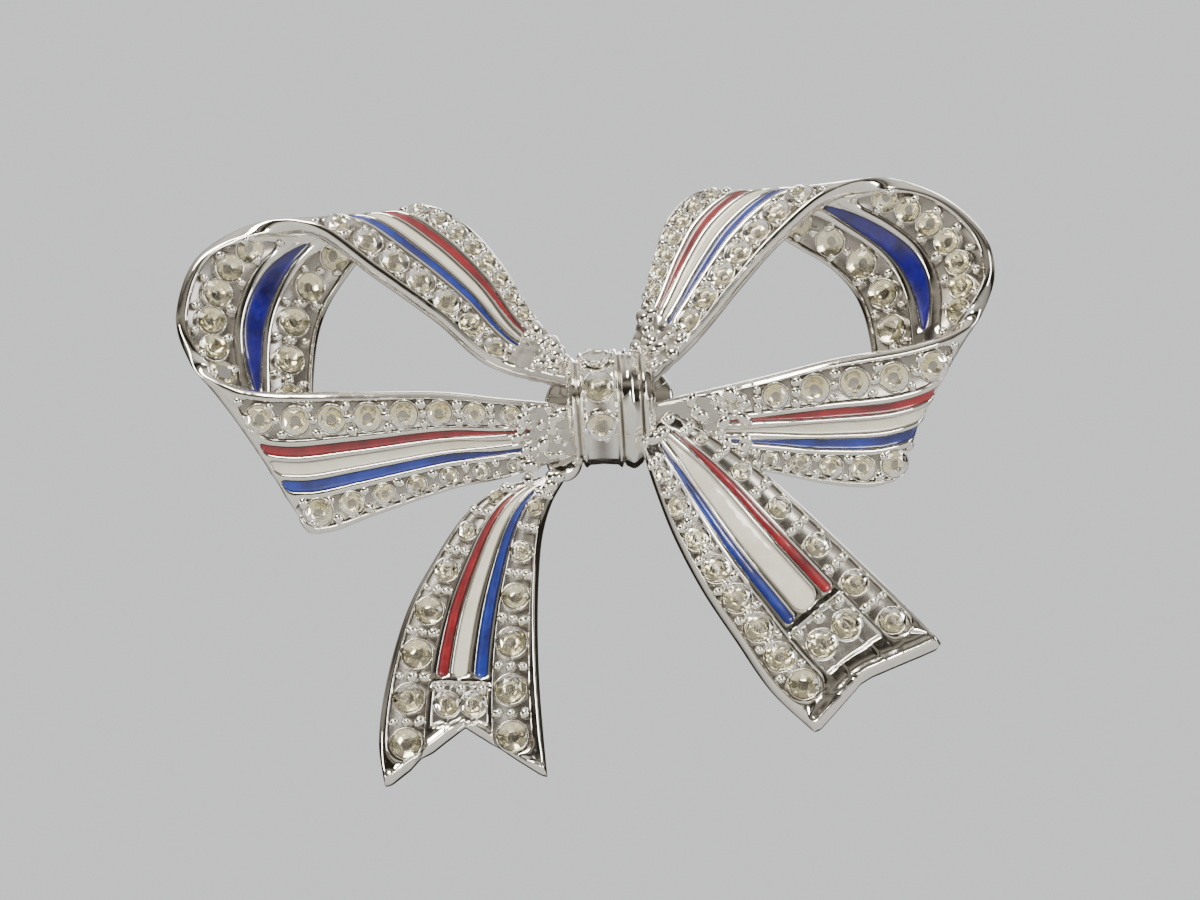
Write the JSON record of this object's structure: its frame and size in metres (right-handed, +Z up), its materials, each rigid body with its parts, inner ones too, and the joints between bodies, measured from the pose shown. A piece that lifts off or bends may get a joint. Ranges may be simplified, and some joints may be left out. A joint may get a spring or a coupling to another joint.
{
  "type": "bow brooch",
  "caption": "Ribbon-bow brooch with open loops, swallow-tail ends, rows of round rhinestones, red, white and blue enamel stripes, and a hinged pin with a turning lock.",
  "frame": {"origin": "on the flat back of the knot, level with the pin, where the cloth lies against the brooch", "axes": "+Z up as the brooch is worn, -Y out of the front, +X to the right of someone who looks at the front"},
  "size_m": [0.0521, 0.0104, 0.0384],
  "materials": {
    "silver_plate": "polished silver-coloured plating over a casting",
    "pin_steel": "bright nickel-plated steel wire and stampings",
    "red_enamel": "glossy translucent red enamel",
    "white_enamel": "glossy ivory-white enamel",
    "blue_enamel": "glossy deep blue enamel",
    "rhinestone": "faceted clear glass with a pale foil back"
  },
  "bodies": {
    "root": {"catch_body": "pin_steel", "hinge_bracket": "pin_steel", "hinge_rivet": "pin_steel", "knot": "silver_plate", "knot_stone_1": "rhinestone", "knot_stone_2": "rhinestone", "knot_stone_3": "rhinestone", "left_loop": "silver_plate", "left_loop_end_crescent_enamel": "blue_enamel", "left_loop_end_inner_stones": "rhinestone", "left_loop_end_outer_stones": "rhinestone", "left_loop_lower_blue_enamel": "blue_enamel", "left_loop_lower_inner_stones": "rhinestone", "left_loop_lower_outer_stones": "rhinestone", "left_loop_lower_red_enamel": "red_enamel", "left_loop_lower_white_enamel": "white_enamel", "left_loop_upper_blue_enamel": "blue_enamel", "left_loop_upper_inner_stones": "rhinestone", "left_loop_upper_outer_stones": "rhinestone", "left_loop_upper_red_enamel": "red_enamel", "left_loop_upper_white_enamel": "white_enamel", "left_tail": "silver_plate", "left_tail_blue_enamel": "blue_enamel", "left_tail_end_stones": "rhinestone", "left_tail_left_stones": "rhinestone", "left_tail_red_enamel": "red_enamel", "left_tail_right_stones": "rhinestone", "left_tail_white_enamel": "white_enamel", "right_loop": "silver_plate", "right_loop_end_crescent_enamel": "blue_enamel", "right_loop_end_inner_stones": "rhinestone", "right_loop_end_outer_stones": "rhinestone", "right_loop_lower_blue_enamel": "blue_enamel", "right_loop_lower_inner_stones": "rhinestone", "right_loop_lower_outer_stones": "rhinestone", "right_loop_lower_red_enamel": "red_enamel", "right_loop_lower_white_enamel": "white_enamel", "right_loop_upper_blue_enamel": "blue_enamel", "right_loop_upper_inner_stones": "rhinestone", "right_loop_upper_outer_stones": "rhinestone", "right_loop_upper_red_enamel": "red_enamel", "right_loop_upper_white_enamel": "white_enamel", "right_tail": "silver_plate", "right_tail_blue_enamel": "blue_enamel", "right_tail_end_stones": "rhinestone", "right_tail_left_stones": "rhinestone", "right_tail_red_enamel": "red_enamel", "right_tail_right_stones": "rhinestone", "right_tail_white_enamel": "white_enamel"},
    "pin": {"pin_stem": "pin_steel"},
    "lock": {"catch_lock": "pin_steel"}
  },
  "joints": [
    {"name": "pin_hinge", "type": "hinge", "parent": "root", "child": "pin", "pos_m": [-0.0155, 0.0026, 0], "axis": [0, 0, 1], "range_deg": [0, 110]},
    {"name": "lock_turn", "type": "hinge", "parent": "root", "child": "lock", "pos_m": [0.015, 0.0026, 0], "axis": [1, 0, 0], "range_deg": [0, 120]}
  ]
}
